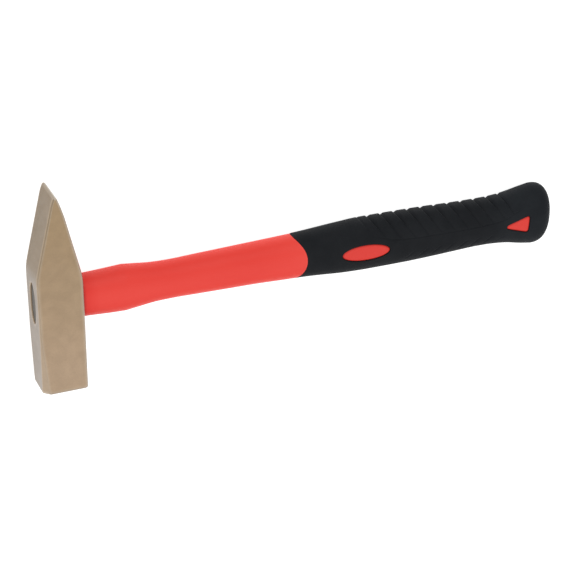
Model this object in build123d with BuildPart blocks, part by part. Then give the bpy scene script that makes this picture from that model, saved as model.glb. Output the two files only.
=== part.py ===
"""Cross-peen hammer with a bronze head and an overmoulded fibreglass handle, lying on its cheek.

+X runs along the handle from the eye to the butt, +Y along the head towards the peen, and +Z up
through the thickness. The origin is on the resting cheek, under the centre of the eye.
"""

from build123d import *
import os

# Driving dimensions of the head, millimetres
HEAD_WIDTH = 27.0  # along the handle
THICKNESS = 23.0  # cheek to cheek
FACE_Y = -55.1  # striking face
PEEN_Y = 67.9  # tip of the peen
FLANK_Y = 18.0  # the outer flank tapers from here to the striking face
FACE_OUTER = 12.9  # half width at the striking face, on the side away from the handle
SHOULDER_OUTER_Y = 19.6  # start of the wedge on the side away from the handle
SHOULDER_INNER_Y = 17.1  # start of the wedge on the handle's side
APEX_Y = 75.6  # where the wedge's flats would meet
OGIVE_OUTER_Y = 60.0  # where each flat of the wedge starts to curve in to the tip
OGIVE_INNER_Y = 54.0
PEEN_EDGE = [(0.75, 67.4), (-0.35, PEEN_Y), (-1.6, 67.3)]  # round edge of the peen, seen from above
FACET_Y = -12.0  # where the outer corner facets run out
FACET_LEG = 3.3  # width of a facet's legs at the striking face
EDGE_ROUND = 1.1
FACE_ROUND = 1.5
SHOULDER_ROUND = 4.0

# Eye and what fills it
EYE_MOUTH = (13.3, 5.5)  # half height, half width, on the outer side
EYE_WAIST = (12.0, 4.7)
EYE_THROAT = (12.5, 5.1)  # on the handle's side
TENON = (11.0, 4.0)
TENON_END_X = -9.5
RESIN_END_X = -12.4  # set just below the mouth of the eye
CORE_HEIGHT = 17.0
CORE_THICKNESS = 5.8
CORE_END_X = 292.0

# Handle: x, half height, half width, and how far the section's centre lies below the axis
SHOULDER_STATIONS = [
    (13.5, 12.85, 8.7, 0.1),
    (40.0, 14.05, 9.2, 0.2),
]
NECK_STATIONS = [
    (40.0, 14.05, 9.2, 0.2),
    (48.0, 13.1, 8.8, 0.2),
    (57.0, 12.05, 8.5, 0.2),
    (68.0, 11.7, 8.35, 0.2),
    (84.0, 12.05, 8.6, 0.1),
    (102.0, 12.45, 9.0, 0.0),
    (120.0, 12.85, 9.4, -0.1),
    (138.0, 13.5, 9.8, 0.0),
    (156.0, 14.0, 10.2, 0.0),
]
GRIP_STATIONS = [
    (138.0, 13.8, 10.1, 0.0),
    (149.0, 14.15, 10.35, -0.1),
    (160.0, 14.9, 10.75, -0.1),
    (172.0, 15.85, 11.15, 0.0),
    (185.0, 16.45, 11.4, 0.0),
    (200.0, 16.5, 11.45, 0.1),
    (216.0, 16.4, 11.4, 0.2),
    (232.0, 16.0, 11.3, 0.2),
    (248.0, 15.35, 11.15, 0.2),
    (262.0, 14.95, 11.05, 0.1),
    (274.0, 15.2, 11.1, 0.2),
    (284.0, 16.4, 11.2, 0.25),
    (292.0, 18.25, 11.35, 0.25),
    (300.0, 19.75, 11.4, 0.25),
]
BUTT_END_X = 312.5  # the closed end rounds off from the last section towards here
BUTT_STEPS = (0.3, 0.55, 0.75, 0.9, 0.98)  # sections of the rounded end, as shares of its length
BUTT_POWER = 2.65
BUTT_LIFT = 0.4  # rise of the sections' centre over the rounded end
SLEEVE_END_X = 302.0  # end of the jacket inside the grip
SLEEVE_WALL = (3.0, 2.3)  # grip wall over the jacket, in height and in width
GRIP_FRONT = [(143.0, 14.5), (149.8, 0.0), (143.0, -14.5)]  # curved front edge, seen from above
WINDOW_RECESS = 0.25

# Windows in the grip
OVAL_CENTRE = (187.0, -1.4)
OVAL_SIZE = (30.6, 10.4)
OVAL_TILT = -2.0
TRIANGLE = [(276.4, -1.9), (295.5, 3.8), (294.9, -8.2)]
TRIANGLE_ROUND = 1.6

# Grooves of the grip
GROOVE_DEPTH = 0.8
GROOVE_WIDTH = 1.1
GROOVE_PITCH = 8.62
BACK_GROOVES = 11
BACK_FIRST = (201.8, 3.2)  # foot of the first slanted groove, beside the border
BACK_LENGTH = 22.0  # carries the grooves over the crest of the back
BACK_SLANT = 55.0
BACK_START_X = 186.0
BELLY_GROOVES = 7
BELLY_FIRST = (219.4, -5.4)  # head of the first short groove below the border
BELLY_LENGTH = 7.5
BELLY_SLANT = 42.0
BORDER = [(197.5, 7.0), (205.0, 4.2), (228.0, 2.5), (262.0, 2.1), (279.0, 3.7), (287.0, 7.4)]
BORDER_WIDTH = 0.8

CLEAR_X = 320.0  # beyond the handle, for the shapes that cut it
CLEAR_Y = 30.0
AXIS_Z = THICKNESS / 2
HALF_WIDTH = HEAD_WIDTH / 2


def oval(x, half_height, half_width, drop=0.0):
    """An upright oval section across the handle at x."""
    with BuildSketch(Plane.YZ.offset(x)) as section:
        with Locations((-drop, AXIS_Z)):
            Ellipse(half_height, half_width)
    return section.sketch


def grip_sections(inset):
    """Sections of the grip's outer form, drawn in by an inset, with its rounded closed end."""
    sections = [oval(x, height - inset, width - inset, drop) for x, height, width, drop in GRIP_STATIONS]
    round_x, height, width, drop = GRIP_STATIONS[-1]
    length = BUTT_END_X - round_x - inset
    for share in BUTT_STEPS:
        scale = (1 - share**BUTT_POWER) ** (1 / BUTT_POWER)
        end_x = round_x + share * length
        lowered = drop - BUTT_LIFT * share**2
        sections.append(oval(end_x, scale * (height - inset), scale * (width - inset), lowered))
    return sections


def wedge_half(shoulder_y, y):
    """Half width of the wedge at y, on the side whose flat starts at shoulder_y."""
    return HALF_WIDTH * (APEX_Y - y) / (APEX_Y - shoulder_y)


def facet_plane(cheek):
    """Plane of one outer corner facet of the head, facing out of the metal."""
    taper = (HALF_WIDTH - FACE_OUTER) / (FLANK_Y - FACE_Y)
    flank_x = taper * (FLANK_Y - FACET_Y) - HALF_WIDTH
    corner = Vector(flank_x, FACET_Y, AXIS_Z + cheek * AXIS_Z)
    on_cheek = Vector(FACET_LEG - FACE_OUTER, FACE_Y, corner.Z)
    on_side = Vector(-FACE_OUTER, FACE_Y, corner.Z - cheek * FACET_LEG)
    outward = (on_cheek - corner).cross(on_side - corner)
    if outward.Z * cheek < 0:
        outward = outward * -1
    return Plane(origin=corner, z_dir=outward)


os.makedirs("parts", exist_ok=True)

# Eye: an hourglass hole through the head along the handle
with BuildPart() as eye:
    loft(sections=[oval(-HALF_WIDTH, *EYE_MOUTH), oval(0, *EYE_WAIST)], ruled=True)
    loft(sections=[oval(0, *EYE_WAIST), oval(HALF_WIDTH, *EYE_THROAT)], ruled=True)

# Head: a block with a wedge-shaped peen across the handle
with BuildPart() as head:
    with BuildSketch(Plane.XY) as outline:
        with BuildLine():
            ogive_inner = (wedge_half(SHOULDER_INNER_Y, OGIVE_INNER_Y), OGIVE_INNER_Y)
            ogive_outer = (-wedge_half(SHOULDER_OUTER_Y, OGIVE_OUTER_Y), OGIVE_OUTER_Y)
            lower = Polyline(
                ogive_outer,
                (-HALF_WIDTH, SHOULDER_OUTER_Y),
                (-HALF_WIDTH, FLANK_Y),
                (-FACE_OUTER, FACE_Y),
                (HALF_WIDTH, FACE_Y),
                (HALF_WIDTH, SHOULDER_INNER_Y),
                ogive_inner,
            )
            TangentArc(lower @ 1, PEEN_EDGE[0], tangent=lower % 1)
            ThreePointArc(*PEEN_EDGE)
            TangentArc(lower @ 0, PEEN_EDGE[-1], tangent=lower % 0 * -1)
        make_face()
        shoulders = outline.vertices().filter_by_position(Axis.Y, SHOULDER_INNER_Y, SHOULDER_OUTER_Y)
        fillet(shoulders.filter_by(lambda point: point.Y != FLANK_Y), SHOULDER_ROUND)
    extrude(amount=THICKNESS)
    along = head.faces().filter_by(Axis.Z).edges().filter_by(lambda edge: edge.center().Y > FACE_Y + 1)
    fillet(along, EDGE_ROUND)
    for cheek in (-1, 1):
        split(bisect_by=facet_plane(cheek), keep=Keep.BOTTOM)
    fillet(head.faces().sort_by(Axis.Y)[0].edges(), FACE_ROUND)
    add(eye.part, mode=Mode.SUBTRACT)
head.part.label = "head"
export_step(head.part, "parts/head.step")

# Fibreglass core: a flat-sided rod from the eye to the butt
with BuildPart() as fibreglass_core:
    with BuildSketch(Plane.YZ.offset(TENON_END_X)):
        with Locations((0, AXIS_Z)):
            SlotOverall(CORE_HEIGHT, CORE_THICKNESS)
    extrude(amount=CORE_END_X - TENON_END_X)
fibreglass_core.part.label = "fibreglass_core"
export_step(fibreglass_core.part, "parts/fibreglass_core.step")

# Everything behind the grip's curved front edge
with BuildPart() as grip_space:
    with BuildSketch(Plane.XY):
        with BuildLine():
            ThreePointArc(*GRIP_FRONT)
            front_x, front_y = GRIP_FRONT[0]
            Polyline(
                (front_x, -front_y),
                (front_x, -CLEAR_Y),
                (CLEAR_X, -CLEAR_Y),
                (CLEAR_X, CLEAR_Y),
                (front_x, CLEAR_Y),
                (front_x, front_y),
            )
        make_face()
    extrude(amount=THICKNESS)

# Window outlines as prisms through the whole thickness
with BuildPart() as windows:
    with BuildSketch(Plane.XY):
        with Locations(OVAL_CENTRE):
            Ellipse(OVAL_SIZE[0] / 2, OVAL_SIZE[1] / 2, rotation=OVAL_TILT)
    with BuildSketch(Plane.XY) as triangle:
        with BuildLine():
            Polyline(*TRIANGLE, close=True)
        make_face()
        fillet(triangle.vertices(), TRIANGLE_ROUND)
    extrude(amount=THICKNESS)

# Pads of the jacket that show in the windows, a little below the grip's surface
with BuildPart() as window_pads:
    loft(sections=grip_sections(WINDOW_RECESS))
    add(windows.part, mode=Mode.INTERSECT)

# Handle body: the moulded jacket, with a tenon, a shoulder against the head and the window pads
with BuildPart() as handle_body:
    loft(sections=[oval(*station) for station in NECK_STATIONS])
    add(grip_space.part, mode=Mode.SUBTRACT)
    loft(sections=[oval(*station) for station in SHOULDER_STATIONS], ruled=True)
    sleeve = [station for station in GRIP_STATIONS if station[0] < SLEEVE_END_X]
    loft(
        sections=[
            oval(x, height - SLEEVE_WALL[0], width - SLEEVE_WALL[1], drop)
            for x, height, width, drop in sleeve
        ]
    )
    add(window_pads.part)
    with BuildSketch(Plane.YZ.offset(TENON_END_X)):
        with Locations((0, AXIS_Z)):
            Ellipse(*TENON)
    extrude(amount=HALF_WIDTH - TENON_END_X)
    add(fibreglass_core.part, mode=Mode.SUBTRACT)
handle_body.part.label = "handle_body"
export_step(handle_body.part, "parts/handle_body.step")

# Resin that bonds the tenon in the eye and covers its end
with BuildPart() as eye_resin:
    add(eye.part)
    split(bisect_by=Plane.YZ.offset(RESIN_END_X), keep=Keep.TOP)
    add(handle_body.part, mode=Mode.SUBTRACT)
    add(fibreglass_core.part, mode=Mode.SUBTRACT)
eye_resin.part.label = "eye_resin"
export_step(eye_resin.part, "parts/eye_resin.step")

# Grooves: slanted strokes over the back down to its border, short ones under the belly line
with BuildPart() as grooves:
    with BuildSketch(Plane.XY):
        for index in range(BACK_GROOVES):
            foot = (BACK_FIRST[0] + index * GROOVE_PITCH, BACK_FIRST[1], 0)
            with Locations(Location(foot, (0, 0, -BACK_SLANT))):
                Rectangle(BACK_LENGTH, GROOVE_WIDTH, align=(Align.MAX, Align.CENTER))
        with BuildLine():
            Spline(*BORDER)
            Polyline(
                BORDER[-1],
                (BORDER[-1][0], CLEAR_Y),
                (BACK_START_X, CLEAR_Y),
                (BACK_START_X, BORDER[0][1]),
                BORDER[0],
            )
        make_face(mode=Mode.INTERSECT)
        for index in range(BELLY_GROOVES):
            top = (BELLY_FIRST[0] + index * GROOVE_PITCH, BELLY_FIRST[1], 0)
            with Locations(Location(top, (0, 0, BELLY_SLANT))):
                Rectangle(BELLY_LENGTH, GROOVE_WIDTH, align=(Align.MAX, Align.CENTER))
        with BuildLine() as border:
            Spline(*BORDER)
        trace(border.line, BORDER_WIDTH)
    extrude(amount=THICKNESS)
    loft(sections=grip_sections(GROOVE_DEPTH), mode=Mode.SUBTRACT)

# Grip: the soft overmoulding, open at the windows and closed at the butt
with BuildPart() as grip:
    loft(sections=grip_sections(0.0))
    add(grip_space.part, mode=Mode.INTERSECT)
    add(windows.part, mode=Mode.SUBTRACT)
    add(handle_body.part, mode=Mode.SUBTRACT)
    add(fibreglass_core.part, mode=Mode.SUBTRACT)
    add(grooves.part, mode=Mode.SUBTRACT)
grip.part.label = "grip"
export_step(grip.part, "parts/grip.step")
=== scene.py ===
"""Looks of the cross-peen hammer: bronze head, red moulded handle, black ribbed grip.

The frame is the CAD model's: metres, +X along the handle, +Y to the peen, +Z up, head's cheek on z = 0.
Shapes below are worked out in millimetres and scaled when each mesh is made.
"""

import math

import bmesh
import bpy
import numpy as np
from mathutils import Matrix, Vector


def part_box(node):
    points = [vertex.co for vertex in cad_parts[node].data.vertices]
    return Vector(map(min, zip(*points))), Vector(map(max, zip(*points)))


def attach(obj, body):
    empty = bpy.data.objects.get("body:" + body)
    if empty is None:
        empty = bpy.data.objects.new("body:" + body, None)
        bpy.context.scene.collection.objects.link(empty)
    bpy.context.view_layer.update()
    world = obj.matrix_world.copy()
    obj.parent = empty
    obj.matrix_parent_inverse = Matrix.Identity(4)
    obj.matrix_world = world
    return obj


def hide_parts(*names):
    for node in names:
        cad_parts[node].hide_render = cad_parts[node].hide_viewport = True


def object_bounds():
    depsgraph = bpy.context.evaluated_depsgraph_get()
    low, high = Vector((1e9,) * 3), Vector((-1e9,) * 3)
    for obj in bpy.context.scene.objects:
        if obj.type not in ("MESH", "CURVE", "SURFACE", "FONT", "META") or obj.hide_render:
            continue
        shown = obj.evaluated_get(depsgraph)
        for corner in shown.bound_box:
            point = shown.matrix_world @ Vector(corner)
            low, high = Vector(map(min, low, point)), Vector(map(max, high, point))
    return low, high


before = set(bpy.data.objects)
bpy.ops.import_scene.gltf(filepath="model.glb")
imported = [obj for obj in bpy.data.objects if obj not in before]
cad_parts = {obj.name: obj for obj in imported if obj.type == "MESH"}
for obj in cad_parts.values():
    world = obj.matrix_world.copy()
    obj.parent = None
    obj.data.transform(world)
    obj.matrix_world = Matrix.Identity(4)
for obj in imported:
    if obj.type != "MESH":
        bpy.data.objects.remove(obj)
cad_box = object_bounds()

MM = 0.001

# Places read from the CAD frame, in millimetres
head_low, head_high = (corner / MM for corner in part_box("head"))
grip_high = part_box("grip")[1] / MM
core_low, core_high = (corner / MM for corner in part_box("fibreglass_core"))
RESIN_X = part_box("eye_resin")[0].x / MM
AXIS_Z = (head_low.z + head_high.z) / 2
HALF_THICK = (head_high.z - head_low.z) / 2
HALF_WIDE = (head_high.x - head_low.x) / 2
FACE_Y = head_low.y
PEEN_Y = head_high.y
BUTT_X = grip_high.x
CORE_HALF = ((core_high.y - core_low.y) / 2, (core_high.z - core_low.z) / 2)

# Head
FLANK_Y = 18.0  # the flanks run straight from here to the striking face
FACE_HALF = {-1: 12.9, 1: 13.5}  # half width at the striking face, away from the handle and beside it
SHOULDER_Y = {-1: 19.6, 1: 17.1}  # start of the wedge, away from the handle and beside it
APEX_Y = 75.6  # where the wedge's flats would meet
SHOULDER_SOFTNESS = 0.45  # how gently the flanks turn into the wedge
OGIVE_Y = {-1: 60.0, 1: 54.0}  # where each flat of the wedge starts to curve in
TIP_TURN = {-1: math.radians(26.7), 1: math.radians(21.0)}  # its slope where the round edge begins
TIP_RADIUS = 1.3
TIP_X = -0.35  # the tip lies a little to the outer side
TIP_INSET = 0.7  # rounding of the tip towards the cheeks
EDGE_ROUND = 1.15  # long edges of the head
FACE_ROUND = 1.5  # edges of the striking face
FACE_CROWN = 0.15  # the striking face is domed by this much
FACET_Y = -12.0  # where the outer corner facets run out
FACET_LEG = 3.3  # width of a facet's legs at the striking face
FACET_TAKEN = 0.5  # part of a facet's legs that the rounding of its edges takes up
HEAD_STEPS = 114  # lines across the head between the striking face and the ogive
CORNER_STEPS = 4
CHEEK_STEPS = 22
FLANK_STEPS = 20
EYE_MOUTH = (13.1, 5.3)  # half height, half width, on the outer side
EYE_WAIST = (12.0, 4.7)
EYE_THROAT = (12.5, 5.1)  # on the handle's side
EYE_RIM = 0.6  # rounding of the eye's edge
EYE_PATCH_Y = 16.3  # half length of the opening left for the eye in the mesh of a flank
TENON = (11.0, 4.0)
TENON_X = core_low.x

# Handle stations: x, half height, half width, drop of the centre below the axis
RED_STATIONS = [
    (13.5, 12.85, 8.7, 0.1),
    (22.0, 13.15, 8.9, 0.2),
    (31.0, 13.65, 9.1, 0.3),
    (40.0, 14.05, 9.2, 0.2),
]
NECK_STATIONS = [
    (40.0, 14.05, 9.2, 0.2),
    (48.0, 13.1, 8.8, 0.2),
    (57.0, 12.05, 8.5, 0.2),
    (68.0, 11.7, 8.35, 0.2),
    (84.0, 12.05, 8.6, 0.1),
    (102.0, 12.45, 9.0, 0.0),
    (120.0, 12.85, 9.4, -0.1),
    (138.0, 13.5, 9.8, 0.0),
    (156.0, 14.0, 10.2, 0.0),
]
GRIP_STATIONS = [
    (138.0, 13.8, 10.1, 0.0),
    (149.0, 14.15, 10.35, -0.1),
    (160.0, 14.9, 10.75, -0.1),
    (172.0, 15.85, 11.15, 0.0),
    (185.0, 16.45, 11.4, 0.0),
    (200.0, 16.5, 11.45, 0.1),
    (216.0, 16.4, 11.4, 0.2),
    (232.0, 16.0, 11.3, 0.2),
    (248.0, 15.35, 11.15, 0.2),
    (262.0, 14.95, 11.05, 0.1),
    (274.0, 15.2, 11.1, 0.2),
    (284.0, 16.4, 11.2, 0.25),
    (292.0, 18.25, 11.35, 0.25),
    (300.0, 19.75, 11.4, 0.25),
]
CORNER_X = NECK_STATIONS[0][0]  # crisp corner where the shoulder block ends
ROUND_X = GRIP_STATIONS[-1][0]
BUTT_POWER = 2.65
BUTT_LIFT = 0.4  # rise of the section's centre towards the end of the butt
POWER = 2.2  # superellipse power of the handle's sections
FRONT_X = 149.8  # most rearward point of the grip's curved front edge
FRONT_SAG = 6.8  # how far the edge sweeps forward at the crest
FRONT_HALF_Y = 14.0  # height at which it has swept that far
FRONT_POWER = 2.1
WALL = (3.0, 2.3)  # grip over the jacket, in height and in width
SLEEVE_END_X = 302.0
CORE_FLAT = 0.35  # where the core's flats end, as a cosine
CLEAR = 0.03  # gap between pieces that touch
LIP = 0.35  # how far the grip's front edge is drawn in

# Windows
OVAL_CENTRE = np.array([187.0, -1.4])
OVAL_HALF = np.array([15.3, 5.2])
OVAL_TILT = math.radians(-2.0)
TRIANGLE = [(276.4, -1.9), (295.5, 3.8), (294.9, -8.2)]
TRIANGLE_ROUND = 1.6
PAD_RECESS = 0.35

# Relief of the grip
PANEL_STEP = 0.16  # the ribbed back stands this far above the rest
GROOVE_PITCH = 8.62
BACK_GROOVES = 11
BACK_FIRST_X = 192.6
BACK_START = (186.3, 0.9, 0.35)  # place, half width and depth of the notch where the ribbed back starts
BACK_SLANT = math.radians(55)
SLANT_Y = (3.0, 16.4)  # heights between which the lines over the back lean
BELLY_SLANT = 1.1  # run along the handle of the lines below the belly line, per height
GROOVE_RISE = (1.1, 2.1)  # width of a groove's steep and gentle sides
CREST_DEPTH = 0.95
BACK_DEPTH = 0.38
BELLY_DEPTH = 0.4
BORDER = [
    (138.0, 9.5), (170.0, 9.5), (186.0, 9.3), (193.0, 8.4), (199.0, 6.0), (205.0, 4.2), (215.0, 3.1),
    (228.0, 2.5), (247.0, 2.1), (262.0, 2.1), (271.0, 2.6), (279.0, 3.8), (287.0, 7.2), (295.0, 10.5),
    (314.0, 11.0),
]
BORDER_DEPTH = 0.35
BORDER_HALF = 0.55
BELLY_LINE_Y = -5.3

# Stretches over which parts of the relief come and go: along the grip, then in height
CREST_RISES = (174.0, 184.0)  # the crest rises to the level of the ribbed back
PANEL_STARTS = (185.6, 187.2)
PANEL_ENDS = (284.0, 290.0)
BORDER_STARTS = (185.0, 192.0)
BORDER_ENDS = (286.0, 292.0)
BELLY_STARTS = (203.0, 212.0)
BELLY_ENDS = (268.0, 274.0)
CREST_Y = (9.5, 13.0)
DEEPER_Y = (8.5, 14.0)  # the grooves deepen towards the crest
SHARE_LENGTHS = (18.0, 8.5)  # about how far one share of the section reaches, above and below the border

# How the mesh's lines bend: with the grip's front edge, then with the grooves' slant
RED_SWEEP_X = 112.0  # the jacket's lines start to take up the front edge's curve
SWEEP_LENGTH = 24.0  # the grip's lines lose it over this length
SLANT_STARTS = (156.0, 182.0)
SLANT_ENDS = (272.0, 296.0)

# Stretches along the handle over which its colours change: painted shadow beside the head, painted shade
# from the pads back, painted sheen on the rear swell
HEAD_SHADOW_X = (14.0, 23.0)
PAD_SHADE_X = (158.0, 164.0)
REAR_SHEEN_X = (262.0, 290.0)

# Stage
FLOOR_Z = -0.05
WORLD_STRENGTH = 0.50
KEY_WATTS = 6.3
BACK_WATTS = 5.4
SIDE_WATTS = 1.9
EDGE_WATTS = 1.7
RIM_WATTS = 0.9
FLOOR_GLOW = 0.85
CAMERA_AIM = (141.413, -20.874, AXIS_Z)  # point at the picture's centre, on the handle's axis plane
CAMERA_DISTANCE = 1257.1
CAMERA_TURN = math.radians(22.195)
CAMERA_RISE = math.radians(27.813)
CAMERA_ROLL = math.radians(0.07)
CAMERA_LENS = 133.06


def smoothstep(low, high, value):
    """0 below low, 1 above high, with a smooth rise between."""
    t = np.clip((value - low) / (high - low), 0, 1)
    return t * t * (3 - 2 * t)


def curve_through(stations):
    """A function of x that runs smoothly through rows of (x, values...)."""
    table = np.array(stations, float)
    xs, values = table[:, 0], table[:, 1:]
    slopes = np.gradient(values, xs, axis=0)

    def at(x):
        x = np.clip(np.asarray(x, float), xs[0], xs[-1])
        i = np.clip(np.searchsorted(xs, x, side="right") - 1, 0, len(xs) - 2)
        span = (xs[i + 1] - xs[i])[..., None]
        t = (x - xs[i])[..., None] / span
        a = 2 * t**3 - 3 * t**2 + 1
        b = t**3 - 2 * t**2 + t
        c = 3 * t**2 - 2 * t**3
        d = t**3 - t**2
        return a * values[i] + b * span * slopes[i] + c * values[i + 1] + d * span * slopes[i + 1]

    return at


border_at = curve_through(BORDER)
grip_at = curve_through(GRIP_STATIONS)
shoulder_at = curve_through(RED_STATIONS)
neck_at = curve_through(NECK_STATIONS)


def new_object(name, points, faces, sharp_angle):
    """A mesh object from points in millimetres, welded, facing out, with smooth shading."""
    mesh = bpy.data.meshes.new(name)
    mesh.from_pydata([tuple(p) for p in np.asarray(points) * MM], [], faces)
    work = bmesh.new()
    work.from_mesh(mesh)
    bmesh.ops.remove_doubles(work, verts=work.verts, dist=2e-6)
    bmesh.ops.dissolve_degenerate(work, edges=work.edges, dist=1e-7)
    bmesh.ops.recalc_face_normals(work, faces=work.faces)
    for face in work.faces:
        face.smooth = True
    for edge in work.edges:
        edge.smooth = not edge.is_manifold or edge.calc_face_angle(0) < sharp_angle
    work.to_mesh(mesh)
    work.free()
    obj = bpy.data.objects.new(name, mesh)
    bpy.context.scene.collection.objects.link(obj)
    return obj


def strip(rows):
    """Quads between rows of point indices that each close on themselves."""
    faces = []
    for first, second in zip(rows[:-1], rows[1:]):
        count = len(first)
        for k in range(count):
            after = (k + 1) % count
            faces.append((first[k], first[after], second[after], second[k]))
    return faces


class Builder:
    """Collects points and faces."""

    def __init__(self):
        self.points = []
        self.faces = []

    def add(self, points):
        """Adds points and gives their indices."""
        start = len(self.points)
        self.points.extend(np.asarray(points, float).tolist())
        return list(range(start, len(self.points)))

    def loops(self, rings):
        """A tube through closed rings, with both ends closed."""
        rows = [self.add(ring) for ring in rings]
        self.faces += strip(rows)
        self.fan(rows[0])
        self.fan(rows[-1])

    def fan(self, row):
        """Closes a ring with triangles to its middle."""
        centre = np.mean([self.points[i] for i in row], axis=0)
        middle = self.add([centre])[0]
        self.faces += [(row[k], row[(k + 1) % len(row)], middle) for k in range(len(row))]


# ---------------------------------------------------------------- head


def side_x(side, y):
    """Half width of the head at y on one side: upright flank, wedge, ogive and round tip."""
    slope = HALF_WIDE / (APEX_Y - SHOULDER_Y[side])
    flank = HALF_WIDE - (HALF_WIDE - FACE_HALF[side]) * np.clip((FLANK_Y - y) / (FLANK_Y - FACE_Y), 0, 1)
    wedge = slope * (APEX_Y - y)
    body = -SHOULDER_SOFTNESS * np.logaddexp(-flank / SHOULDER_SOFTNESS, -wedge / SHOULDER_SOFTNESS)
    turn = TIP_TURN[side]
    tangent_y = PEEN_Y - TIP_RADIUS * (1 - math.sin(turn))
    gap = slope * (APEX_Y - tangent_y) - TIP_RADIUS * math.cos(turn) - side * TIP_X
    length = tangent_y - OGIVE_Y[side]
    power = (math.tan(turn) - slope) * length / gap
    ogive = wedge - gap * np.clip((y - OGIVE_Y[side]) / length, 0, 1) ** power
    rise = np.clip((y - PEEN_Y) / TIP_RADIUS + 1, 0, 1)
    tip = side * TIP_X + TIP_RADIUS * np.sqrt(1 - rise**2)
    return np.where(y > tangent_y, tip, np.where(y > OGIVE_Y[side], ogive, body))


def head_rows():
    """Positions along the head, with how far the section is drawn in by the rounding of its ends."""
    rim = FACE_Y + FACE_CROWN
    rows = [
        (rim + FACE_ROUND * (1 - math.cos(turn)), FACE_ROUND * (1 - math.sin(turn)))
        for turn in np.linspace(0, math.pi / 2, 6)
    ]
    rows += [(y, 0.0) for y in np.linspace(rim + FACE_ROUND, OGIVE_Y[-1], HEAD_STEPS)[1:]]
    tangent_y = PEEN_Y - TIP_RADIUS * (1 - math.sin(TIP_TURN[1]))
    rows += [(y, 0.0) for y in np.linspace(OGIVE_Y[-1], tangent_y, 10)[1:]]
    for turn in np.linspace(TIP_TURN[1], math.pi / 2, 8)[1:]:
        share = (turn - TIP_TURN[1]) / (math.pi / 2 - TIP_TURN[1])
        y = PEEN_Y - TIP_RADIUS * (1 - math.sin(turn))
        rows.append((y, TIP_INSET * (1 - math.cos(share * math.pi / 2))))
    return rows


def head_section(y, inset):
    """One loop round the head at y: flats joined by rounded corners that open into facets."""
    drawn = inset if y < 0 else 0
    half = {side: float(side_x(side, y)) - drawn for side in (1, -1)}
    middle = (half[1] - half[-1]) / 2
    reach = max((half[1] + half[-1]) / 2, 0)
    thick = HALF_THICK - inset
    facet = FACET_LEG * min(max((FACET_Y - y) / (FACET_Y - FACE_Y), 0), 1) - FACET_TAKEN
    corners = []
    for sx, sz in ((1, 1), (-1, 1), (-1, -1), (1, -1)):
        radius = min(EDGE_ROUND, reach * 0.9)
        leg = max(facet if sx < 0 else 0, min(0.1, reach * 0.1))
        arc = []
        for low, dx, dz in ((0, 0, leg), (math.pi / 4, leg, 0)):
            for turn in np.linspace(low, low + math.pi / 4, CORNER_STEPS):
                x = middle + sx * (reach - radius - dx + radius * math.cos(turn))
                arc.append((x, sz * (thick - radius - dz + radius * math.sin(turn))))
        corners.append(arc if sx * sz > 0 else arc[::-1])
    ring = []
    for index, corner in enumerate(corners):
        steps = CHEEK_STEPS if index % 2 == 0 else FLANK_STEPS
        start, end = np.array(corner[-1]), np.array(corners[(index + 1) % 4][0])
        ring += corner + [tuple(start + (end - start) * k / steps) for k in range(1, steps)]
    return np.array([(x, y, AXIS_Z + z) for x, z in ring])


def ellipse_ring(x, half, angles):
    """Points of an upright ellipse across the handle, with x a number or one value for each angle."""
    ring = np.empty((len(angles), 3))
    ring[:, 0] = x
    ring[:, 1] = half[0] * np.cos(angles)
    ring[:, 2] = AXIS_Z + half[1] * np.sin(angles)
    return ring


def eye_half(x):
    """Half height and half width of the eye at x: an hourglass, wider at its outer mouth."""
    share = abs(x) / HALF_WIDE
    wide = EYE_MOUTH if x < 0 else EYE_THROAT
    return np.array(EYE_WAIST) + (np.array(wide) - np.array(EYE_WAIST)) * share**1.5


def build_head():
    """The forging: sections along the head, a domed face, and the eye's wall between two rounded mouths."""
    work = Builder()
    sections = [head_section(y, inset) for y, inset in head_rows()]
    rows = [work.add(section) for section in sections]
    ys = np.array([section[0][1] for section in sections])
    first = int(np.argmin(np.abs(ys + EYE_PATCH_Y)))
    last = int(np.argmin(np.abs(ys - EYE_PATCH_Y)))
    outer = 4 * CORNER_STEPS + CHEEK_STEPS - 1
    inner = outer + 4 * CORNER_STEPS + FLANK_STEPS + CHEEK_STEPS - 2
    spans = {-1: (outer, outer + FLANK_STEPS - 2), 1: (inner, inner + FLANK_STEPS - 2)}
    count = len(rows[0])
    for i in range(len(rows) - 1):
        for k in range(count):
            in_hole = first <= i < last and any(low <= k < high for low, high in spans.values())
            if not in_hole:
                after = (k + 1) % count
                work.faces.append((rows[i][k], rows[i][after], rows[i + 1][after], rows[i + 1][k]))
    crown_face(work, rows[0], sections[0])
    mouths = {
        side: eye_mouth(work, rows, sections, first, last, side, span) for side, span in spans.items()
    }
    angles, mouth = mouths[-1]
    places = np.linspace(-HALF_WIDE + EYE_RIM, HALF_WIDE - EYE_RIM, 9)[1:-1]
    wall = [work.add(ellipse_ring(x, eye_half(x), angles)) for x in places]
    work.faces += strip([mouth] + wall + [beside(work, wall[-1], mouths[1][1])])
    return new_object("hammer_head", work.points, work.faces, math.radians(50))


def crown_face(work, row, rim):
    """The slightly domed striking face."""
    crown = [row]
    for share in (0.93, 0.8, 0.6, 0.35, 0.12):
        ring = rim * [share, 1, 1]
        ring[:, 1] = FACE_Y + FACE_CROWN * share**2
        ring[:, 2] = AXIS_Z + (rim[:, 2] - AXIS_Z) * share
        crown.append(work.add(ring))
    work.faces += strip(crown)
    work.fan(crown[-1])


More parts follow.
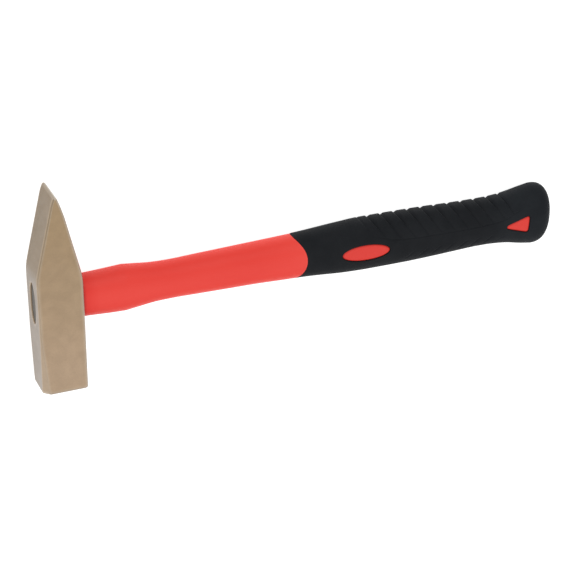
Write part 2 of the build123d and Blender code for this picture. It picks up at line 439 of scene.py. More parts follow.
def eye_mouth(work, rows, sections, first, last, side, span):
    """Rings from an opening in the flank to the eye's rounded rim. Gives the rim's angles and last ring."""
    low, high = span
    path = [(last, k) for k in range(low, high)]
    path += [(i, high) for i in range(last, first, -1)]
    path += [(first, k) for k in range(high, low, -1)]
    path += [(i, low) for i in range(first, last)]
    edge = np.array([sections[i][k] for i, k in path])
    reach = (edge.max(0) - edge.min(0)) / 2
    angles = np.arctan2((edge[:, 2] - AXIS_Z) / reach[2], edge[:, 1] / reach[1])
    half = eye_half(side * (HALF_WIDE - EYE_RIM))
    lip = ellipse_ring(0, half + EYE_RIM, angles)
    surface = side * side_x(side, lip[:, 1])
    lip[:, 0] = surface
    rings = [edge + (lip - edge) * share for share in (0.35, 0.7, 1.0)]
    for turn in np.linspace(0, math.pi / 2, 5)[1:]:
        deep = surface - side * EYE_RIM * (1 - math.cos(turn))
        rings.append(ellipse_ring(deep, half + EYE_RIM * (1 - math.sin(turn)), angles))
    new = [work.add(ring) for ring in rings]
    work.faces += strip([[rows[i][k] for i, k in path]] + new)
    return angles, new[-1]


def beside(work, ring, other):
    """The other ring's points, started and turned so that each lies beside its point of ring."""
    here = np.array([work.points[i] for i in ring])[:, 1:]
    there = np.array([work.points[i] for i in other])[:, 1:]
    start = int(np.argmin(np.linalg.norm(there - here[0], axis=1)))
    count = len(other)
    orders = [[(start + turn * k) % count for k in range(count)] for turn in (1, -1)]
    best = min(orders, key=lambda order: np.linalg.norm(there[order] - here, axis=1).sum())
    return [other[k] for k in best]


# ---------------------------------------------------------------- handle sections


def superellipse(angle, half_height, half_width, drop):
    """Point of a handle section: angle 0 at the crest of the back, pi at the belly."""
    c, s = np.cos(angle), np.sin(angle)
    y = half_height * np.sign(c) * np.abs(c) ** (2 / POWER) - drop
    z = half_width * np.sign(s) * np.abs(s) ** (2 / POWER)
    return y, z


def angle_at(y, half_height, drop):
    """The angle whose point of the section lies at height y."""
    share = np.clip((y + drop) / half_height, -1, 1)
    return np.arccos(np.sign(share) * np.abs(share) ** (POWER / 2))


def grip_section(x):
    """Half height, half width and drop of the grip at x, rounding off at the butt."""
    x = np.asarray(x, float)
    values = grip_at(np.minimum(x, ROUND_X))
    share = np.clip((x - ROUND_X) / (BUTT_X - ROUND_X), 0, 1)
    scale = (1 - share**BUTT_POWER) ** (1 / BUTT_POWER)
    return values[..., 0] * scale, values[..., 1] * scale, values[..., 2] - BUTT_LIFT * share**2


def grip_z(x, y, wall=(0.0, 0.0)):
    """Height above the axis plane of the grip's upper side at (x, y), or of its inside under a wall."""
    height, width, drop = grip_section(x)
    share = np.clip(np.abs((y + drop) / (height - wall[0])), 0, 1)
    return (width - wall[1]) * (1 - share**POWER) ** (1 / POWER)


def front_edge(y):
    """How far the grip's front edge sweeps forward at height y."""
    return -FRONT_SAG * np.clip(np.abs(y) / FRONT_HALF_Y, 0, 1.1) ** FRONT_POWER


def slant(y):
    """Shift along the handle of the lines that the grooves follow."""
    back = (SLANT_Y[1] - np.maximum(y, SLANT_Y[0])) / math.tan(BACK_SLANT)
    belly = np.maximum(BELLY_LINE_Y - y, 0) * BELLY_SLANT
    return np.maximum(back - belly, 0)


def mirrored(name, work, sharp_angle):
    """An object from a half mesh on the upper side of the axis plane and its mirror image below."""
    half = np.array(work.points)
    count = len(half)
    points = np.concatenate([half, half * [1, 1, -1]]) + [0, 0, AXIS_Z]
    faces = work.faces + [tuple(count + i for i in reversed(face)) for face in work.faces]
    return new_object(name, points, faces, sharp_angle)


def add_half(work, x, y, z):
    """One half section as a row of points whose ends lie on the axis plane."""
    row = np.column_stack([np.broadcast_to(x, np.shape(y)), y, z])
    row[0, 2] = row[-1, 2] = 0
    return work.add(row)


def skin(work, rows):
    """Quads between open rows."""
    for first, second in zip(rows[:-1], rows[1:]):
        for k in range(len(first) - 1):
            work.faces.append((first[k], first[k + 1], second[k + 1], second[k]))


def cap(work, row, x):
    """Closes a half section with a fan to a point at x, midway between the row's ends."""
    y = (work.points[row[0]][1] + work.points[row[-1]][1]) / 2
    tip = work.add([[x, y, 0]])[0]
    work.faces += [(row[k], row[k + 1], tip) for k in range(len(row) - 1)]


# ---------------------------------------------------------------- windows in the grip


def oval_outline(grow):
    """A tilted ellipse, grown outwards by an offset."""
    turn = np.linspace(0, 2 * math.pi, 96, endpoint=False)
    x = (OVAL_HALF[0] + grow) * np.cos(turn)
    y = (OVAL_HALF[1] + grow) * np.sin(turn)
    c, s = math.cos(OVAL_TILT), math.sin(OVAL_TILT)
    return np.stack([OVAL_CENTRE[0] + c * x - s * y, OVAL_CENTRE[1] + s * x + c * y], 1)


def triangle_outline(grow):
    """A triangle with rounded corners, grown outwards by an offset."""
    corners = np.array(TRIANGLE)
    points = []
    for k in range(3):
        here, before, after = corners[k], corners[k - 1], corners[(k + 1) % 3]
        a = (before - here) / np.linalg.norm(before - here)
        b = (after - here) / np.linalg.norm(after - here)
        half = math.acos(float(a @ b)) / 2
        bisector = (a + b) / np.linalg.norm(a + b)
        centre = here + bisector * TRIANGLE_ROUND / math.sin(half)
        start = math.atan2(-bisector[1], -bisector[0])
        turns = np.linspace(start + math.pi / 2 - half, start - math.pi / 2 + half, 9)
        points += [centre + (TRIANGLE_ROUND + grow) * np.array([math.cos(t), math.sin(t)]) for t in turns]
    dense = []
    for here, after in zip(points, points[1:] + points[:1]):
        steps = max(1, int(np.linalg.norm(after - here) / 0.6))
        dense += [here + (after - here) * k / steps for k in range(steps)]
    return np.array(dense)


def outline_at(outline, centre, half, angles):
    """Points where an outline is met in the given directions, measured in a frame scaled to its size."""
    scaled = (outline - centre) / half
    turn = np.arctan2(scaled[:, 1], scaled[:, 0])
    order = np.argsort(turn)
    reach = np.hypot(scaled[:, 0], scaled[:, 1])[order]
    turn = turn[order]
    turn = np.concatenate([turn - 2 * math.pi, turn, turn + 2 * math.pi])
    found = np.interp(angles, turn, np.concatenate([reach] * 3))
    return centre + np.stack([found * np.cos(angles), found * np.sin(angles)], 1) * half


# outline, centre and size of its polar frame, and the opening left for it in x and in the columns' measure
WINDOWS = [
    (oval_outline, OVAL_CENTRE, OVAL_HALF, (164.5, 209.5), (1.2, 2.2)),
    (triangle_outline, np.array([289.0, -2.0]), np.array([9.5, 6.0]), (273.5, 300.5), (1.14, 2.25)),
]


def window_frame(work, columns, points, ids, inner_ids, window):
    """Leaves a rectangle of the grip open and fills it with rings down the window's edge to the inside."""
    outline, centre, half, (low_x, high_x), (low_s, high_s) = window
    low = int(np.argmin(np.abs(columns - low_s)))
    high = int(np.argmin(np.abs(columns - high_s)))
    middle = int(np.argmin(np.abs(columns - 1.5)))
    xs = np.array([row[middle][0] for row in points])
    first = int(np.argmin(np.abs(xs - low_x)))
    last = int(np.argmin(np.abs(xs - high_x)))
    path = [(i, high) for i in range(first, last)]
    path += [(last, k) for k in range(high, low, -1)]
    path += [(i, low) for i in range(last, first, -1)]
    path += [(first, k) for k in range(low, high)]
    edge = np.array([points[i][k] for i, k in path])
    flat = edge[:, :2]
    scaled = (flat - centre) / half
    angles = np.arctan2(scaled[:, 1], scaled[:, 0])
    above = edge[:, 2] - grip_z(flat[:, 0], flat[:, 1])
    rings = [[ids[i][k] for i, k in path]]
    rim = outline_at(outline(0.75), centre, half, angles)
    for share in (0.3, 0.6, 0.85, 1.0):
        ring = flat + (rim - flat) * share
        z = grip_z(ring[:, 0], ring[:, 1]) + above * (1 - share) - PANEL_STEP * share
        rings.append(work.add(np.column_stack([ring, z])))
    for grow, sink in ((0.45, 0.17), (0.2, 0.27), (0.05, 0.45), (0.0, 0.8)):
        ring = outline_at(outline(grow), centre, half, angles)
        rings.append(work.add(np.column_stack([ring, grip_z(ring[:, 0], ring[:, 1]) - sink])))
    foot = outline_at(outline(0.0), centre, half, angles)
    for share in (0.0, 0.5):
        ring = foot + (flat - foot) * share
        rings.append(work.add(np.column_stack([ring, grip_z(ring[:, 0], ring[:, 1], WALL)])))
    rings.append([inner_ids[i][k] for i, k in path])
    work.faces += strip(rings)
    return first, last, low, high


# ---------------------------------------------------------------- grip


def grip_lines():
    """Places of the mesh's lines along the grip, in the grooves' slanted measure, and depths at the lip."""
    lines = [(FRONT_X, LIP), (FRONT_X + 0.1, 0.12), (FRONT_X + 0.35, 0.02), (FRONT_X + 0.8, 0.0)]
    spots = list(np.arange(FRONT_X + 2.2, CREST_RISES[1], 1.6))
    spots += [BACK_START[0] + step for step in (-1.6, -0.9, -0.4, 0.0, 0.4, 0.9, 1.7, 3.0, 4.0)]
    steps = (-1.5, -GROOVE_RISE[0], -0.7, -0.3, 0, 0.5, 1.1, 1.6, GROOVE_RISE[1], 2.8, 4.2, 5.6)
    for index in range(BACK_GROOVES):
        spots += [BACK_FIRST_X + index * GROOVE_PITCH + step for step in steps]
    spots += list(np.linspace(spots[-1], ROUND_X, 13)[1:])
    shares = (0.07, 0.12, 0.24, 0.35, 0.46, 0.56, 0.65, 0.73, 0.8, 0.86, 0.91, 0.95, 0.98, 0.995)
    spots += [ROUND_X + share * (BUTT_X - ROUND_X) for share in shares]
    return lines + [(spot, 0.0) for spot in spots]


def grip_columns():
    """Shares round the upper half: 0 crest, 1 border of the back, 2 belly line, 3 foot of the belly."""
    back = list(np.linspace(0, 0.9, 24)) + [0.945, 0.975]
    side = [1.0, 1.03, 1.06] + list(np.linspace(1.12, 1.9, 13)) + [1.96]
    belly = [2.0, 2.05, 2.1] + list(np.linspace(2.16, 3, 22))
    return np.array(back + side + belly)


def grip_form(u, s):
    """Place on the smooth form, above the axis plane, of the points s of the line u."""
    x = np.full_like(s, u)
    slanted = smoothstep(*SLANT_STARTS, u) * (1 - smoothstep(*SLANT_ENDS, u))
    swept = 1 - smoothstep(FRONT_X, FRONT_X + SWEEP_LENGTH, u)
    for _ in range(8):
        height, width, drop = grip_section(x)
        border = angle_at(border_at(x)[..., 0], height, drop)
        belly = angle_at(BELLY_LINE_Y, height, drop)
        on_side = border + (belly - border) * (s - 1)
        on_belly = belly + (math.pi - belly) * (s - 2)
        angle = np.where(s < 1, border * s, np.where(s < 2, on_side, on_belly))
        y, z = superellipse(angle, height, width, drop)
        if u > ROUND_X:
            break
        x = u + slanted * slant(y) + swept * front_edge(y)
    return x, y, z


def grip_relief(u, s, x, y):
    """How far the surface lies below the smooth form: grooves, the back's border, the field round it."""
    index = np.clip(round((u - BACK_FIRST_X) / GROOVE_PITCH), 0, BACK_GROOVES - 1)
    beyond = u - (BACK_FIRST_X + GROOVE_PITCH * index)
    notch = max(1 - abs(beyond) / GROOVE_RISE[beyond > 0], 0) ** 1.2
    border = border_at(x)[..., 0]
    on_back = smoothstep(0.2, 1.4, y - border)
    below = BELLY_LINE_Y - y
    on_belly = smoothstep(0.1, 0.8, below) * (1 - smoothstep(3.0, 6.5, below))
    on_belly = on_belly * smoothstep(*BELLY_STARTS, u) * (1 - smoothstep(*BELLY_ENDS, u))
    back_depth = BACK_DEPTH + (CREST_DEPTH - BACK_DEPTH) * smoothstep(*DEEPER_Y, y)
    relief = notch * (back_depth * on_back + BELLY_DEPTH * on_belly)
    start_x, start_half, start_depth = BACK_START
    start = start_depth * max(1 - abs(u - start_x) / start_half, 0) * smoothstep(*CREST_Y, y)
    relief = np.maximum(relief, start)
    ends = smoothstep(*BORDER_STARTS, u) * (1 - smoothstep(*BORDER_ENDS, u))
    beside_line = np.abs(s - 1) * np.where(s < 1, *SHARE_LENGTHS)
    relief = np.maximum(relief, BORDER_DEPTH * np.clip(1 - beside_line / BORDER_HALF, 0, 1) * ends)
    raised = smoothstep(*PANEL_STARTS, u) * (1 - smoothstep(*PANEL_ENDS, u))
    panel = raised * smoothstep(-0.6, 0.4, y - border)
    crest = smoothstep(*CREST_Y, y) * smoothstep(*CREST_RISES, u) * (u < PANEL_STARTS[1])
    panel = np.maximum(panel, crest)
    return relief + PANEL_STEP * (1 - panel)


def outward(x, y, z):
    """Direction away from the handle's surface, across the handle."""
    height, width, drop = grip_section(x)
    height, width = np.maximum(height, 0.5), np.maximum(width, 0.5)
    ny = np.sign(y + drop) * np.abs((y + drop) / height) ** (POWER - 1) / height
    nz = np.abs(z / width) ** (POWER - 1) / width
    size = np.hypot(ny, nz) + 1e-9
    return ny / size, nz / size


def build_grip():
    """The overmoulding: an outer and an inner skin, joined at the front edge and round the windows."""
    columns = grip_columns()
    work = Builder()
    points, ids, inner_ids = [], [], []
    for u, lip in grip_lines():
        x, y, z = grip_form(u, columns)
        ny, nz = outward(x, y, z)
        depth = lip + grip_relief(u, columns, x, y)
        depth = depth * np.clip((BUTT_X - x) / 2, 0, 1)
        ids.append(add_half(work, x, y - ny * depth, np.maximum(z - nz * depth, 0)))
        points.append([work.points[i] for i in ids[-1]])
        if u <= ROUND_X + 1.0:
            height, width, drop = grip_section(np.minimum(x, ROUND_X))
            inside_y = (y + drop) * (height - WALL[0]) / height - drop
            inner_ids.append(add_half(work, x, inside_y, z * (width - WALL[1]) / width))
    openings = [window_frame(work, columns, points, ids, inner_ids, window) for window in WINDOWS]
    for rows in (ids, inner_ids):
        for i in range(len(rows) - 1):
            for k in range(len(columns) - 1):
                if not any(a <= i < b and c <= k < d for a, b, c, d in openings):
                    work.faces.append((rows[i][k], rows[i][k + 1], rows[i + 1][k + 1], rows[i + 1][k]))
    skin(work, [inner_ids[0], ids[0]])
    cap(work, ids[-1], BUTT_X)
    cap(work, inner_ids[-1], work.points[inner_ids[-1][0]][0] + 0.8)
    return mirrored("grip_sleeve", work, math.radians(48))


# ---------------------------------------------------------------- red handle body


def red_section(x):
    """Half height, half width and drop of the jacket where it shows."""
    x = np.asarray(x, float)
    values = np.where((x < CORNER_X)[..., None], shoulder_at(x), neck_at(x))
    return values[..., 0], values[..., 1], values[..., 2]


def core_section(angles):
    """Half of the core's slot, with straight flats and round ends."""
    lean = np.abs(np.cos(angles))
    turn = np.clip((1 - lean) / (1 - CORE_FLAT), 0, 1) * math.pi / 2
    flat = CORE_HALF[0] - CORE_HALF[1]
    y = flat * np.minimum(lean / CORE_FLAT, 1) + (CORE_HALF[1] + CLEAR) * np.cos(turn)
    return y * np.sign(np.cos(angles)), (CORE_HALF[1] + CLEAR) * np.sin(turn)


def build_handle_body():
    """The jacket: slot for the core, tenon, shoulder block, neck, sleeve under the grip, window pads."""
    work = Builder()
    angles = np.linspace(0, math.pi, 57)
    rows = []

    def section(x, height, width, drop):
        rows.append(add_half(work, x, *superellipse(angles, height, width, drop)))

    slot_y, slot_z = core_section(angles)
    for x in [core_high.x + CLEAR] + list(np.linspace(core_high.x - 2, TENON_X, 8)):
        rows.append(add_half(work, x, slot_y, slot_z))
    for inset, step in ((0.6, 0.0), (0.2, 0.15), (0.0, 0.6)):
        section(TENON_X + step, TENON[0] - inset, TENON[1] - inset, 0)
    for x in (2.0, HALF_WIDE + CLEAR):
        section(x, *TENON, 0)
    height, width, drop = (float(value) for value in red_section(HALF_WIDE))
    for inset, step in ((0.8, CLEAR), (0.25, 0.13), (0.05, 0.4)):
        section(HALF_WIDE + step, height - inset, width - inset, drop)
    places = [HALF_WIDE + 0.9] + list(np.arange(16, 38, 2.0))
    places += [CORNER_X + step for step in (-1.6, -0.8, -0.2, 0.4, 1.2, 2.4)]
    places += list(np.arange(44, FRONT_X - 2, 2.0)) + [FRONT_X - 1.0, FRONT_X - 0.03]
    for u in places:
        x = np.full_like(angles, u)
        swept = float(smoothstep(RED_SWEEP_X, FRONT_X - 0.05, u))
        for _ in range(6):
            height, width, drop = red_section(x)
            y, z = superellipse(angles, height, width, drop)
            x = u + swept * front_edge(y)
        rows.append(add_half(work, x, y, z))
    front = x
    for u in [FRONT_X] + list(np.arange(158, ROUND_X, 6.0)) + [ROUND_X, SLEEVE_END_X]:
        x = front if u == FRONT_X else np.full_like(angles, u)
        height, width, drop = grip_section(np.minimum(x, ROUND_X))
        section(x, height - WALL[0] - CLEAR, width - WALL[1] - CLEAR, drop)
    skin(work, rows)
    cap(work, rows[0], core_high.x + CLEAR)
    cap(work, rows[-1], SLEEVE_END_X)
    for outline, centre, half, _, _ in WINDOWS:
        window_pad(work, outline, centre, half)
    return mirrored("red_handle", work, math.radians(42))


def window_pad(work, outline, centre, half):
    """A raised pad of the jacket that fills a window, a little below the grip's surface."""
    turns = np.linspace(-math.pi, math.pi, 84, endpoint=False)
    rings = []

    def add_ring(edge, sink):
        z = grip_z(edge[:, 0], edge[:, 1]) - PANEL_STEP - PAD_RECESS - sink
        rings.append(np.column_stack([edge, z]))

    inside = outline_at(outline(-1.3), centre, half, turns)
    for share in (0.08, 0.3, 0.55, 0.75, 0.9):
        add_ring(centre + (inside - centre) * share, 0.0)
    for grow, sink in ((-1.3, 0.0), (-0.95, 0.05), (-0.6, 0.16), (-0.3, 0.34), (-0.05, 0.6), (-0.05, 1.2)):
        add_ring(outline_at(outline(grow), centre, half, turns), sink)
    foot = outline_at(outline(-0.05), centre, half, turns)
    rings.append(np.column_stack([foot, grip_z(foot[:, 0], foot[:, 1], WALL) - 0.6]))
    work.loops(rings)


# ---------------------------------------------------------------- resin in the eye


def build_resin():
    """Filler that follows the eye's wall, with a dished outer end and a pocket for the tenon."""
    work = Builder()
    turns = np.linspace(0, 2 * math.pi, 80, endpoint=False)
    rings = [
        ellipse_ring(RESIN_X + 0.45 * (1 - share**4), (eye_half(RESIN_X) - CLEAR) * share, turns)
        for share in (0.1, 0.3, 0.5, 0.7, 0.85, 0.95)
    ]
    for x in (RESIN_X, -8.0, -4.0, 0.0, 4.0, 8.0, HALF_WIDE - CLEAR):
        rings.append(ellipse_ring(x, eye_half(x) - CLEAR, turns))
    pocket = np.array(TENON) + CLEAR
    for x in (HALF_WIDE - CLEAR, 6.0, -2.0, TENON_X - CLEAR):
        rings.append(ellipse_ring(x, pocket, turns))
    rings.append(ellipse_ring(TENON_X - CLEAR, pocket * 0.1, turns))
    work.loops(rings)
    return new_object("eye_filler", work.points, work.faces, math.radians(50))


# ---------------------------------------------------------------- materials


class Shader:
    """A new node material with short calls for its nodes, in object space measured in millimetres."""

    def __init__(self, name):
        self.material = bpy.data.materials.new(name)
        self.material.use_nodes = True
        self.nodes = self.material.node_tree.nodes
        self.links = self.material.node_tree.links
        self.surface = self.nodes["Principled BSDF"]
        place = self.nodes.new("ShaderNodeTexCoord").outputs["Object"]
        self.place = self.vector("SCALE", place, scale=1 / MM)

    def connect(self, value, socket):
        if isinstance(value, bpy.types.NodeSocket):
            self.links.new(value, socket)
        else:
            socket.default_value = value

    def vector(self, operation, value, other=None, scale=None):
        node = self.nodes.new("ShaderNodeVectorMath")
        node.operation = operation
        self.connect(value, node.inputs[0])
        if other is not None:
            self.connect(other, node.inputs[1])
        if scale is not None:
            node.inputs["Scale"].default_value = scale
        return node.outputs["Value" if operation == "DOT_PRODUCT" else "Vector"]

    def noise(self, size, detail=3.0, roughness=0.55, stretch=(1, 1, 1)):
        """Noise whose features are about size millimetres, longer along the stretched axes."""
        node = self.nodes.new("ShaderNodeTexNoise")
        self.connect(self.vector("DIVIDE", self.place, stretch), node.inputs["Vector"])
        node.inputs["Scale"].default_value = 1 / size
        node.inputs["Detail"].default_value = detail
        node.inputs["Roughness"].default_value = roughness
        return node.outputs["Fac"]

    def cells(self, size):
        """Distance to the nearest of points about size millimetres apart."""
        node = self.nodes.new("ShaderNodeTexVoronoi")
        self.connect(self.place, node.inputs["Vector"])
        node.inputs["Scale"].default_value = 1 / size
        return node.outputs["Distance"]

    def spread(self, value, low, high, first, last):
        """Maps value from low..high to first..last, held at the ends."""
        node = self.nodes.new("ShaderNodeMapRange")
        self.connect(value, node.inputs["Value"])
        for name, number in (("From Min", low), ("From Max", high), ("To Min", first), ("To Max", last)):
            node.inputs[name].default_value = number
        return node.outputs["Result"]

    def ramp(self, value, *stops):
        """Colours at places of value."""
        node = self.nodes.new("ShaderNodeValToRGB")
        self.connect(value, node.inputs["Fac"])
        elements = node.color_ramp.elements
        while len(elements) < len(stops):
            elements.new(0.5)
        for element, (place, colour) in zip(elements, stops):
            element.position = place
            element.color = (*colour, 1)
        return node.outputs["Color"]

    def mix(self, share, first, second):
        """First where share is 0, second where it is 1."""
        node = self.nodes.new("ShaderNodeMix")
        node.data_type = "RGBA"
        colours = [socket for socket in node.inputs if socket.type == "RGBA"]
        self.connect(share, node.inputs["Factor"])
        for value, socket in zip((first, second), colours):
            self.connect(value if isinstance(value, bpy.types.NodeSocket) else (*value, 1), socket)
        return next(socket for socket in node.outputs if socket.type == "RGBA")

    def math(self, operation, first, second):
        node = self.nodes.new("ShaderNodeMath")
        node.operation = operation
        self.connect(first, node.inputs[0])
        self.connect(second, node.inputs[1])
        return node.outputs["Value"]

    def part(self, vector, axis):
        """One component of a vector."""
        node = self.nodes.new("ShaderNodeSeparateXYZ")
        self.connect(vector, node.inputs[0])
        return node.outputs[axis]

    def facing(self, axis):
        """How squarely the surface faces along an axis, either way."""
        normal = self.nodes.new("ShaderNodeTexCoord").outputs["Normal"]
        return self.math("ABSOLUTE", self.part(normal, axis), 0.0)

    def edges(self, radius):
        """0 on flats, rising on outer and inner edges sharper than the radius in millimetres."""
        bevel = self.nodes.new("ShaderNodeBevel")
        bevel.samples = 6
        bevel.inputs["Radius"].default_value = radius * MM
        normal = self.nodes.new("ShaderNodeNewGeometry").outputs["Normal"]
        return self.math("SUBTRACT", 1.0, self.vector("DOT_PRODUCT", bevel.outputs["Normal"], normal))

    def openness(self, reach):
        """1 in the open, less in hollows and beside walls nearer than the reach in millimetres."""
        node = self.nodes.new("ShaderNodeAmbientOcclusion")
        node.samples = 8
        node.inputs["Distance"].default_value = reach * MM
        return node.outputs["AO"]

    def ridges(self):
        """0.5 on flats, more on rounded outer edges."""
        return self.nodes.new("ShaderNodeNewGeometry").outputs["Pointiness"]

    def bump(self, *layers):
        """Stacked bumps from (height value, depth in millimetres)."""
        normal = None
        for height, depth in layers:
            node = self.nodes.new("ShaderNodeBump")
            node.inputs["Strength"].default_value = 1.0
            node.inputs["Distance"].default_value = depth * MM
            self.connect(height, node.inputs["Height"])
            if normal is not None:
                self.connect(normal, node.inputs["Normal"])
            normal = node.outputs["Normal"]
        self.connect(normal, self.surface.inputs["Normal"])

    def set(self, **values):
        names = {
            "base": "Base Color",
            "metallic": "Metallic",
            "roughness": "Roughness",
            "specular": "Specular IOR Level",
            "coat": "Coat Weight",
            "coat_roughness": "Coat Roughness",
        }
        for name, value in values.items():
            self.connect(value, self.surface.inputs[names[name]])


def bronze_material():
    """Forged bronze under a thin lacquer: tan cheeks, flanks painted greyer as a reflection of the pale
    floor, slopes painted darker as shade, rubbed edges partly painted as highlights.
    """
    shader = Shader("forged_bronze")
    broad = shader.noise(16.0, 3.0, 0.5)
    fine = shader.noise(1.1, 4.0, 0.65)
    along = shader.part(shader.place, "Y")
    pink = shader.ramp(broad, (0.35, (0.360, 0.255, 0.162)), (0.68, (0.384, 0.272, 0.175)))
    olive = shader.ramp(broad, (0.35, (0.290, 0.198, 0.103)), (0.68, (0.310, 0.214, 0.115)))
    cheeks = shader.mix(shader.spread(along, -40.0, 50.0, 0.0, 1.0), pink, olive)
    # Painted light: the flank's greyer tone is a painted reflection of the pale floor, and the slope's
    # darker tone is painted shade.
    flank = shader.ramp(broad, (0.35, (0.232, 0.183, 0.138)), (0.68, (0.262, 0.210, 0.162)))
    slope = shader.ramp(broad, (0.35, (0.188, 0.127, 0.062)), (0.68, (0.211, 0.143, 0.073)))
    sides_painted_light = shader.mix(shader.spread(along, 15.0, 22.0, 0.0, 1.0), flank, slope)
    # Painted light: the cheeks get the lit tone and the flanks and slopes get the painted reflection and
    # shade, chosen by which way the surface faces.
    painted_light_tone = shader.mix(shader.spread(shader.facing("Z"), 0.0, 0.35, 0.0, 1.0), sides_painted_light, cheeks)
    grained = shader.mix(shader.spread(fine, 0.35, 0.68, 0.0, 0.18), painted_light_tone, (0.24, 0.175, 0.115))
    off_face = shader.spread(shader.facing("Y"), 0.95, 0.99, 1.0, 0.0)
    # Rubbed edges, partly a painted highlight: rounded edges lighter, as worn and as catching the light,
    # except round the striking face.
    rub_and_highlight = shader.math("MULTIPLY", off_face, shader.spread(shader.ridges(), 0.502, 0.54, 0.0, 0.8))
    lighter_edges = shader.mix(rub_and_highlight, grained, (0.56, 0.475, 0.38))
    tip = shader.spread(along, PEEN_Y - 1.2, PEEN_Y - 0.5, 0.0, 1.0)
    inner = shader.spread(shader.part(shader.place, "X"), -0.8, 0.1, 0.1, 0.65)
    struck = shader.math("MULTIPLY", tip, inner)
    worn = shader.mix(struck, lighter_edges, (0.62, 0.57, 0.51))
    patches = shader.spread(shader.noise(5.0, 2.0), 0.35, 0.65, 0.44, 0.505)
    shader.set(base=worn, metallic=0.8, roughness=patches, coat=0.4, coat_roughness=0.3)
    grit = shader.noise(0.42, 2.0, 0.6)
    waves = shader.noise(9.0, 2.0)
    shader.bump((grit, 0.03), (waves, 0.014), (shader.cells(0.8), 0.012))
    return shader.material


def red_material():
    """Satin red polymer with slight flow variation and painted shade: darker beside the head, on the pads
    and in hollows.
    """
    shader = Shader("red_polymer")
    flow = shader.noise(30.0, 2.0, 0.5, (3, 1, 1))
    streaks = ((0.3, (0.82, 0.048, 0.034)), (0.55, (0.85, 0.057, 0.041)), (0.75, (0.87, 0.066, 0.048)))
    colour = shader.ramp(flow, *streaks)
    lighter_edges = shader.mix(shader.spread(shader.edges(0.7), 0.03, 0.3, 0.0, 0.25), colour, (0.86, 0.16, 0.13))
    along = shader.part(shader.place, "X")
    # Painted shadow of the head: the red darker just beside the head.
    head_shadow_share = shader.spread(along, *HEAD_SHADOW_X, 0.75, 0.0)
    painted_head_shadow = shader.mix(head_shadow_share, lighter_edges, (0.80, 0.030, 0.021))
    # Painted shade of the windows' recesses: the red darker from here back along the grip, pads included.
    pad_shade_share = shader.spread(along, *PAD_SHADE_X, 0.0, 1.0)
    painted_pad_shade = shader.mix(pad_shade_share, painted_head_shadow, (0.75, 0.042, 0.030))
    # Painted shade: the red darker in hollows and beside walls, from ambient occlusion.
    hollow_shade_share = shader.spread(shader.openness(2.5), 0.5, 0.98, 0.9, 0.0)
    shaded = shader.mix(hollow_shade_share, painted_pad_shade, (0.46, 0.016, 0.012))
    satin = shader.spread(shader.noise(2.5, 3.0), 0.35, 0.65, 0.42, 0.49)
    shader.set(base=shaded, roughness=satin, specular=0.24)
    shader.bump((shader.noise(0.16, 1.0), 0.008), (shader.noise(7.0, 1.0, 0.4, (2, 1, 1)), 0.05))
    return shader.material


def black_material():
    """Matte thermoplastic elastomer: near black, faintly bluish, with a painted lighter bluish sheen
    towards the rear swell, and a fine mould texture.
    """
    shader = Shader("black_elastomer")
    broad = shader.noise(12.0, 3.0)
    front = shader.ramp(broad, (0.35, (0.0074, 0.0086, 0.0106)), (0.65, (0.0102, 0.0116, 0.0138)))
    # Painted sheen: the rear swell lighter and bluer, as if catching the light.
    swell_painted_sheen = shader.ramp(broad, (0.35, (0.0098, 0.0120, 0.0150)), (0.65, (0.0132, 0.0158, 0.0190)))
    rear_sheen_share = shader.spread(shader.part(shader.place, "X"), *REAR_SHEEN_X, 0.0, 1.0)
    colour = shader.mix(rear_sheen_share, front, swell_painted_sheen)
    # Rubbed edges, partly a painted highlight: edges lighter, as worn and as catching the light.
    rub_and_highlight = shader.spread(shader.edges(0.6), 0.03, 0.3, 0.0, 0.5)
    lighter_edges = shader.mix(rub_and_highlight, colour, (0.020, 0.022, 0.025))
    speckle = shader.spread(shader.noise(0.5, 2.0, 0.7), 0.35, 0.7, 0.60, 0.74)
    shader.set(base=lighter_edges, roughness=speckle, specular=0.13)
    shader.bump((shader.noise(0.22, 1.0), 0.02), (shader.cells(0.42), 0.008))
    return shader.material


def resin_material():
    """Poured grey filler with a dull skin and a few pits."""
    shader = Shader("grey_filler")
    cloud = shader.noise(3.0, 4.0)
    colour = shader.ramp(cloud, (0.3, (0.112, 0.100, 0.087)), (0.7, (0.166, 0.150, 0.132)))
    pits = shader.spread(shader.cells(1.6), 0.05, 0.22, 0.0, 1.0)
    pitted = shader.mix(pits, (0.07, 0.061, 0.052), colour)
    shader.set(base=pitted, roughness=shader.spread(cloud, 0.3, 0.7, 0.5, 0.7))
    shader.bump((shader.noise(0.8, 3.0), 0.06), (pits, 0.08))
    return shader.material


def fibreglass_material():
    """Pulled glass-fibre rod: straw-coloured, with strands along it."""
    shader = Shader("pulled_fibreglass")
    strands = shader.noise(0.5, 3.0, 0.6, (60, 1, 1))
    colour = shader.ramp(strands, (0.35, (0.52, 0.46, 0.30)), (0.65, (0.72, 0.68, 0.52)))
    shader.set(base=colour, roughness=shader.spread(strands, 0.3, 0.7, 0.34, 0.5))
    shader.bump((strands, 0.03))
    return shader.material


def floor_material():
    """Pale, evenly glowing studio paper."""
    shader = Shader("studio_floor")
    cloud = shader.noise(400.0, 2.0)
    paper = shader.ramp(cloud, (0.3, (0.49, 0.49, 0.49)), (0.7, (0.51, 0.51, 0.51)))
    shader.set(base=paper, roughness=0.9, specular=0.1)
    shader.surface.inputs["Emission Color"].default_value = (1, 1, 1, 1)
    shader.surface.inputs["Emission Strength"].default_value = FLOOR_GLOW
    return shader.material


# ---------------------------------------------------------------- stage, light and camera


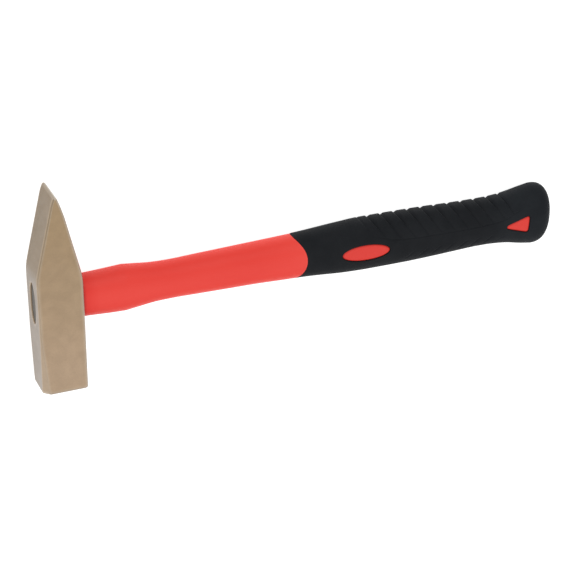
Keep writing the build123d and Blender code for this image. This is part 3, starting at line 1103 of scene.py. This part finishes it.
def build_floor():
    """A very large disc just below the resting cheek."""
    turns = np.linspace(0, 2 * math.pi, 96, endpoint=False)
    circle = np.column_stack([np.cos(turns), np.sin(turns), np.zeros_like(turns)])
    rings = [circle * radius + [0, 0, FLOOR_Z] for radius in (40, 400, 6000)]
    work = Builder()
    rows = [work.add(ring) for ring in rings]
    work.faces += strip(rows)
    work.fan(rows[0])
    floor = new_object("floor", work.points, work.faces, math.radians(60))
    floor.data.materials.append(floor_material())


def add_light(name, place, target, size, watts):
    """A round area light that faces the target."""
    data = bpy.data.lights.new(name, "AREA")
    data.shape = "DISK"
    data.size = size
    data.energy = watts
    lamp = bpy.data.objects.new(name, data)
    lamp.location = place
    lamp.rotation_euler = (Vector(target) - Vector(place)).to_track_quat("-Z", "Y").to_euler()
    bpy.context.scene.collection.objects.link(lamp)


def build_light():
    """An even white world, a key light and four weaker ones."""
    world = bpy.data.worlds.new("studio")
    world.use_nodes = True
    world.node_tree.nodes["Background"].inputs["Color"].default_value = (1, 1, 1, 1)
    world.node_tree.nodes["Background"].inputs["Strength"].default_value = WORLD_STRENGTH
    bpy.context.scene.world = world
    middle = [(low + high) / 2 for low, high in zip(*cad_box)]
    add_light("key", (0.6, -0.7, 1.3), middle, 1.5, KEY_WATTS)
    add_light("back", (0.1, 0.8, 1.2), middle, 1.2, BACK_WATTS)
    add_light("side", (-1.1, -0.9, 0.35), middle, 0.9, SIDE_WATTS)
    add_light("edge", (-0.4, -0.75, 1.3), middle, 0.8, EDGE_WATTS)
    add_light("rim", (-1.05, -0.75, 0.95), middle, 0.7, RIM_WATTS)
    bpy.context.scene.view_settings.view_transform = "Standard"


def build_camera():
    """Looks down at the upper cheek, from beyond the eye and the peen, with the peen upwards."""
    data = bpy.data.cameras.new("camera")
    data.lens = CAMERA_LENS
    data.sensor_width = 36.0
    data.clip_end = 20.0
    turn, rise = CAMERA_TURN, CAMERA_RISE
    forward = Vector((math.sin(turn) * math.cos(rise), -math.sin(rise), -math.cos(turn) * math.cos(rise)))
    right = forward.cross(Vector((0, 1, 0))).normalized()
    up = right.cross(forward)
    frame_matrix = Matrix((right, up, -forward)).transposed()
    roll = Matrix.Rotation(CAMERA_ROLL, 3, "Z")
    camera = bpy.data.objects.new("camera", data)
    camera.matrix_world = (frame_matrix @ roll).to_4x4()
    camera.location = (Vector(CAMERA_AIM) - forward * CAMERA_DISTANCE) * MM
    bpy.context.scene.collection.objects.link(camera)
    bpy.context.scene.camera = camera


# ---------------------------------------------------------------- the object

build_camera()
build_light()
build_floor()

PIECES = [
    (build_head, bronze_material, "head", "head_bronze"),
    (build_handle_body, red_material, "handle_body", "handle_red"),
    (build_grip, black_material, "grip", "grip_black"),
    (build_resin, resin_material, "eye_resin", "eye_resin"),
]
for build, material, node, slot in PIECES:
    piece = build()
    piece.data.materials.append(material())
    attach(piece, "root")
    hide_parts(node)

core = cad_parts["fibreglass_core"]
core.data.materials.clear()
core.data.materials.append(fibreglass_material())
